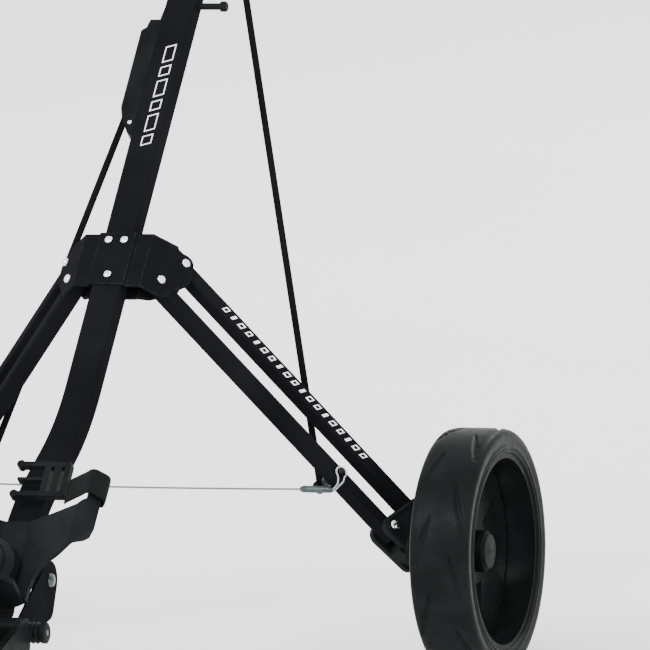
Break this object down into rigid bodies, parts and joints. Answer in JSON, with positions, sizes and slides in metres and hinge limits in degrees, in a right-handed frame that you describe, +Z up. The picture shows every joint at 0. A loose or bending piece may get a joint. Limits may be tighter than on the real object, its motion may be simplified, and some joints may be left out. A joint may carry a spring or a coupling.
{
  "type": "golf push cart",
  "caption": "Folding three-wheel golf push cart: riveted hub, parallelogram legs with struts and tie cable, strapped bag cradle, bar handle.",
  "frame": {"origin": "on the ground, in the middle plane, half way along the overall length with the cart open", "axes": "+Z up, front wheel towards -Y, handle towards +Y, X across the cart"},
  "size_m": [0.7548, 1.1798, 0.9968],
  "materials": {
    "black_paint": "satin powder coat",
    "moulding": "fine texture",
    "rivet_steel": "polished",
    "wheel_plastic": "satin",
    "tyre_foam": "satin",
    "grip_foam": "matte foam",
    "webbing": "woven",
    "cable_steel": "wire"
  },
  "bodies": {
    "frame": {"main_tube": "black_paint", "tube_plug_top": "moulding", "tube_plug_foot": "moulding", "hub_plate_front": "black_paint", "hub_plate_back": "black_paint", "pivot_rivets": "rivet_steel", "hub_rivets": "rivet_steel", "bag_cradle": "moulding", "buckle_male": "moulding", "buckle_female": "moulding", "strap_male": "webbing", "strap_female": "webbing", "front_bracket": "black_paint", "front_pivot_pin": "rivet_steel", "stop_peg": "black_paint", "side_pocket": "moulding", "pocket_screw": "rivet_steel", "bag_arms": "moulding", "handle_clevis": "moulding", "handle_pin": "rivet_steel", "tie_cable": "cable_steel"},
    "slider": {"slider": "moulding", "slider_pins": "rivet_steel"},
    "front_arm": {"arm_plates": "black_paint", "front_fork": "moulding", "axle_front": "rivet_steel"},
    "front_wheel": {"tyre_front": "tyre_foam", "rim_front": "wheel_plastic"},
    "front_lock": {"lock_knob": "moulding", "lock_pin": "rivet_steel"},
    "handle": {"handle_stem": "black_paint", "handle_tee": "moulding", "handle_bar": "rivet_steel", "grip_right": "grip_foam", "grip_left": "grip_foam", "bar_ends": "moulding"},
    "leg_lower_right": {"link_lower_right": "black_paint", "tie_pin_right": "rivet_steel", "cable_ferrule_right": "cable_steel"},
    "leg_upper_right": {"link_upper_right": "black_paint"},
    "strut_right": {"strut_right": "black_paint"},
    "knuckle_right": {"knuckle_right": "moulding", "knuckle_rivets_right": "rivet_steel", "axle_rear_right": "rivet_steel"},
    "wheel_right": {"tyre_rear_right": "tyre_foam", "rim_rear_right": "wheel_plastic", "cap_rear_right": "wheel_plastic"},
    "leg_lower_left": {"link_lower_left": "black_paint", "tie_pin_left": "rivet_steel", "cable_ferrule_left": "cable_steel"},
    "leg_upper_left": {"link_upper_left": "black_paint"},
    "strut_left": {"strut_left": "black_paint"},
    "knuckle_left": {"knuckle_left": "moulding", "knuckle_rivets_left": "rivet_steel", "axle_rear_left": "rivet_steel"},
    "wheel_left": {"tyre_rear_left": "tyre_foam", "rim_rear_left": "wheel_plastic", "cap_rear_left": "wheel_plastic"}
  },
  "joints": [
    {"name": "leg_fold_right", "type": "hinge", "parent": "frame", "child": "leg_lower_right", "pos_m": [0.04975, 0.0386, 0.40965], "axis": [-0.7408, 0.4649, -0.4848], "range_deg": [0, 66.18], "deforming": ["tie_cable"]},
    {"name": "leg_upper_right", "type": "hinge", "parent": "frame", "child": "leg_upper_right", "pos_m": [0.06419, 0.07214, 0.41975], "axis": [-0.7408, 0.4649, -0.4848], "range_deg": [0, 66.18]},
    {"name": "knuckle_level_right", "type": "hinge", "parent": "leg_lower_right", "child": "knuckle_right", "pos_m": [0.25899, 0.09908, 0.14792], "axis": [-0.7408, 0.4649, -0.4848], "range_deg": [-66.18, 0]},
    {"name": "strut_swing_right", "type": "hinge", "parent": "slider", "child": "strut_right", "pos_m": [0.02012, 0.38545, 0.70504], "axis": [-0.7408, 0.4649, -0.4848], "range_deg": [0, 23.31]},
    {"name": "wheel_spin_right", "type": "hinge", "parent": "knuckle_right", "child": "wheel_right", "pos_m": [0.346, 0.1054, 0.1235], "axis": [1, 0, 0], "continuous": true},
    {"name": "leg_fold_left", "type": "hinge", "parent": "frame", "child": "leg_lower_left", "pos_m": [-0.04975, 0.0386, 0.40965], "axis": [-0.7408, -0.4649, 0.4848], "range_deg": [0, 66.18]},
    {"name": "leg_upper_left", "type": "hinge", "parent": "frame", "child": "leg_upper_left", "pos_m": [-0.06419, 0.07214, 0.41975], "axis": [-0.7408, -0.4649, 0.4848], "range_deg": [0, 66.18]},
    {"name": "knuckle_level_left", "type": "hinge", "parent": "leg_lower_left", "child": "knuckle_left", "pos_m": [-0.25899, 0.09908, 0.14792], "axis": [-0.7408, -0.4649, 0.4848], "range_deg": [-66.18, 0]},
    {"name": "strut_swing_left", "type": "hinge", "parent": "slider", "child": "strut_left", "pos_m": [-0.02012, 0.38545, 0.70504], "axis": [-0.7408, -0.4649, 0.4848], "range_deg": [0, 23.31]},
    {"name": "wheel_spin_left", "type": "hinge", "parent": "knuckle_left", "child": "wheel_left", "pos_m": [-0.346, 0.1054, 0.1235], "axis": [1, 0, 0], "continuous": true},
    {"name": "slider_travel", "type": "slide", "parent": "frame", "child": "slider", "axis": [0, -0.7218, -0.6921], "range_m": [0, 0.1078]},
    {"name": "front_fold", "type": "hinge", "parent": "frame", "child": "front_arm", "pos_m": [0, -0.2386, 0.163], "axis": [1, 0, 0], "range_deg": [0, 130]},
    {"name": "wheel_spin_front", "type": "hinge", "parent": "front_arm", "child": "front_wheel", "pos_m": [0, -0.4846, 0.105], "axis": [1, 0, 0], "continuous": true},
    {"name": "front_lock_pull", "type": "slide", "parent": "front_arm", "child": "front_lock", "axis": [1, 0, 0], "range_m": [0, 0.008], "stiffness_N_per_m": 800, "springref_m": -0.002},
    {"name": "handle_fold", "type": "hinge", "parent": "frame", "child": "handle", "pos_m": [0, 0.45218, 0.81346], "axis": [1, 0, 0], "range_deg": [-20, 100]}
  ],
  "couplings": [
    {"joint": "leg_upper_right", "follows": "leg_fold_right", "ratio": 1},
    {"joint": "knuckle_level_right", "follows": "leg_fold_right", "ratio": -1},
    {"joint": "strut_swing_right", "follows": "leg_fold_right", "ratio": 0.35193},
    {"joint": "leg_fold_left", "follows": "leg_fold_right", "ratio": 1},
    {"joint": "leg_upper_left", "follows": "leg_fold_right", "ratio": 1},
    {"joint": "knuckle_level_left", "follows": "leg_fold_right", "ratio": -1},
    {"joint": "strut_swing_left", "follows": "leg_fold_right", "ratio": 0.35193},
    {"joint": "slider_travel", "follows": "leg_fold_right", "m_per_rad": 0.093243}
  ]
}
